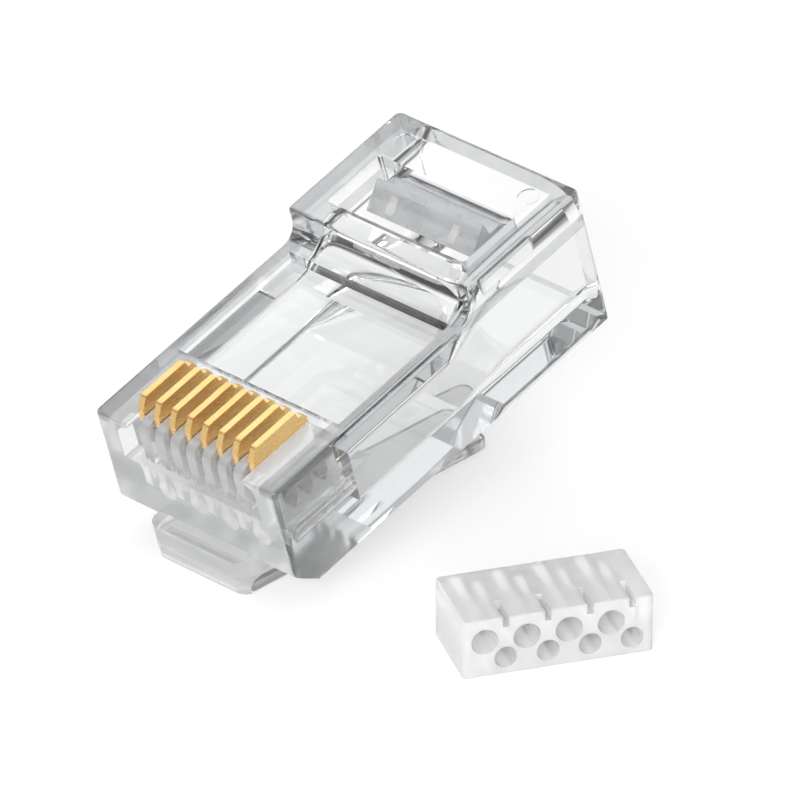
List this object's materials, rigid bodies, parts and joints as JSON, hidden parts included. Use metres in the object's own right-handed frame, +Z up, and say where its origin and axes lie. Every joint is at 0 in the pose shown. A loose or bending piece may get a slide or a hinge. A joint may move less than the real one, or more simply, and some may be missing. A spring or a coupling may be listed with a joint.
{
  "type": "modular plug with wire guide",
  "caption": "Clear modular plug for twisted-pair cable with raised gold contacts, a springy latch and a strain relief tooth, with its loose wire guide bar beside it.",
  "frame": {"origin": "on the table, under the middle of the plug and the wire guide together", "axes": "+Z up; +Y the way the cable leaves, level with the table, so the nose looks along -Y; +X across the plug towards the wire guide"},
  "size_m": [0.0256, 0.023, 0.0149],
  "materials": {
    "clear_polycarbonate": "clear, polished mould surface",
    "gold_plate": "gold plated over nickel on bronze, satin"
  },
  "bodies": {
    "plug": {"housing": "clear_polycarbonate", "wire_guide": "clear_polycarbonate"},
    "latch_arm": {"latch": "clear_polycarbonate"},
    "strain_relief": {"strain_relief_tooth": "clear_polycarbonate"},
    "blade_1": {"contact_1": "gold_plate"},
    "blade_2": {"contact_2": "gold_plate"},
    "blade_3": {"contact_3": "gold_plate"},
    "blade_4": {"contact_4": "gold_plate"},
    "blade_5": {"contact_5": "gold_plate"},
    "blade_6": {"contact_6": "gold_plate"},
    "blade_7": {"contact_7": "gold_plate"},
    "blade_8": {"contact_8": "gold_plate"}
  },
  "joints": [
    {"name": "latch_flex", "type": "hinge", "parent": "plug", "child": "latch_arm", "pos_m": [-0.007, -0.00969, 0.00035], "axis": [1, 0, 0], "range_deg": [0, 14], "stiffness_Nm_per_rad": 0.45},
    {"name": "tooth_fold", "type": "hinge", "parent": "plug", "child": "strain_relief", "pos_m": [-0.007, 0.0064, 0.01307], "axis": [1, 0, 0], "range_deg": [0, 38]},
    {"name": "crimp_1", "type": "slide", "parent": "plug", "child": "blade_1", "axis": [0, 0.284, -0.9588], "range_m": [0, 0.0012]},
    {"name": "crimp_2", "type": "slide", "parent": "plug", "child": "blade_2", "axis": [0, 0.284, -0.9588], "range_m": [0, 0.0012]},
    {"name": "crimp_3", "type": "slide", "parent": "plug", "child": "blade_3", "axis": [0, 0.284, -0.9588], "range_m": [0, 0.0012]},
    {"name": "crimp_4", "type": "slide", "parent": "plug", "child": "blade_4", "axis": [0, 0.284, -0.9588], "range_m": [0, 0.0012]},
    {"name": "crimp_5", "type": "slide", "parent": "plug", "child": "blade_5", "axis": [0, 0.284, -0.9588], "range_m": [0, 0.0012]},
    {"name": "crimp_6", "type": "slide", "parent": "plug", "child": "blade_6", "axis": [0, 0.284, -0.9588], "range_m": [0, 0.0012]},
    {"name": "crimp_7", "type": "slide", "parent": "plug", "child": "blade_7", "axis": [0, 0.284, -0.9588], "range_m": [0, 0.0012]},
    {"name": "crimp_8", "type": "slide", "parent": "plug", "child": "blade_8", "axis": [0, 0.284, -0.9588], "range_m": [0, 0.0012]}
  ],
  "couplings": [
    {"joint": "crimp_2", "follows": "crimp_1", "ratio": 1},
    {"joint": "crimp_3", "follows": "crimp_1", "ratio": 1},
    {"joint": "crimp_4", "follows": "crimp_1", "ratio": 1},
    {"joint": "crimp_5", "follows": "crimp_1", "ratio": 1},
    {"joint": "crimp_6", "follows": "crimp_1", "ratio": 1},
    {"joint": "crimp_7", "follows": "crimp_1", "ratio": 1},
    {"joint": "crimp_8", "follows": "crimp_1", "ratio": 1}
  ]
}
